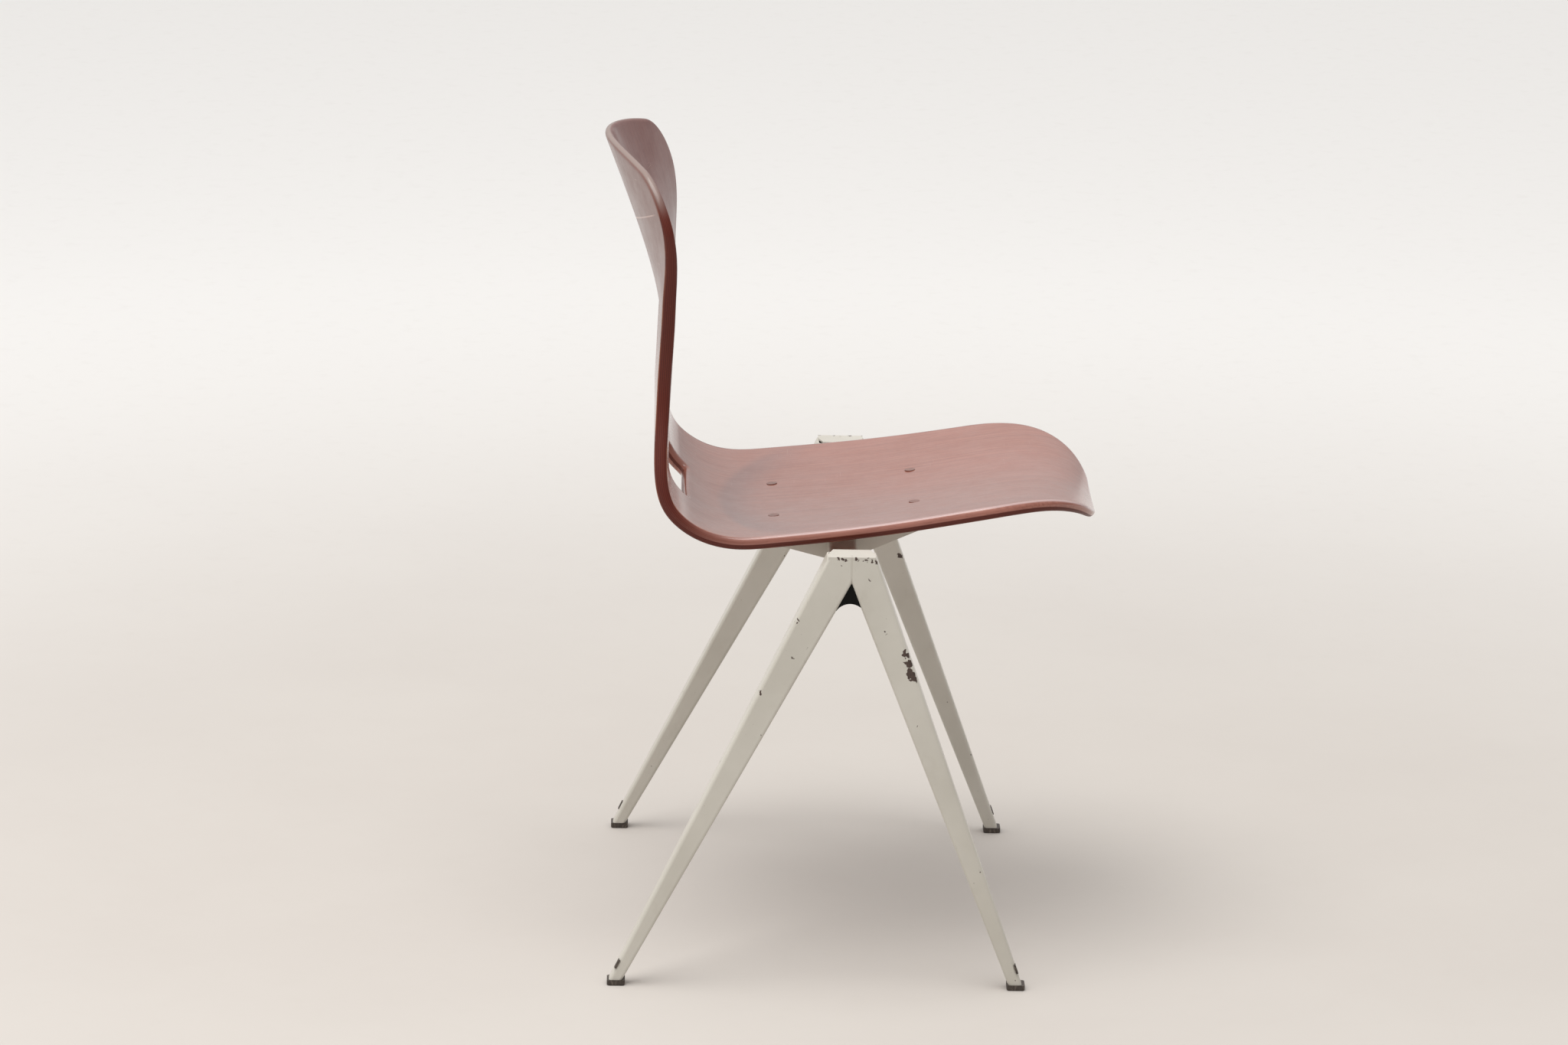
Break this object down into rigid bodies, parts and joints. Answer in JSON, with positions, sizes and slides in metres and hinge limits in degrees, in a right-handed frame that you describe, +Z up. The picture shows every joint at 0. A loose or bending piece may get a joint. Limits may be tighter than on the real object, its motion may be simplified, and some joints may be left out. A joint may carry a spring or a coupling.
{
  "type": "stacking chair",
  "caption": "Armless stacking chair: one-piece moulded plywood shell with a hand slot, on a tapered compass-leg frame of folded sheet steel.",
  "frame": {"origin": "on the floor under the middle of the chair's box", "axes": "+Z up, the sitter faces -Y, +X is the sitter's left"},
  "size_m": [0.5426, 0.4813, 0.7798],
  "materials": {
    "plywood": "glossy red-brown lacquer over beech veneer",
    "enamel": "chipped warm grey enamel",
    "rubber": "matt black",
    "foot": "worn dark brown",
    "rivet": "darkened steel",
    "fibre": "red-brown fibre"
  },
  "bodies": {
    "root": {"seat_shell": "plywood", "cross_beam": "enamel", "left_head_cap": "enamel", "right_head_cap": "enamel", "left_head_gusset": "enamel", "right_head_gusset": "enamel", "left_stacking_pad": "rubber", "right_stacking_pad": "rubber", "left_seat_bearer": "enamel", "right_seat_bearer": "enamel", "left_front_leg": "enamel", "left_rear_leg": "enamel", "right_front_leg": "enamel", "right_rear_leg": "enamel", "left_front_foot_cap": "foot", "left_rear_foot_cap": "foot", "right_front_foot_cap": "foot", "right_rear_foot_cap": "foot", "foot_clips": "foot", "seat_rivets": "rivet", "rivet_washers": "rivet", "seat_spacers": "fibre"}
  },
  "joints": []
}
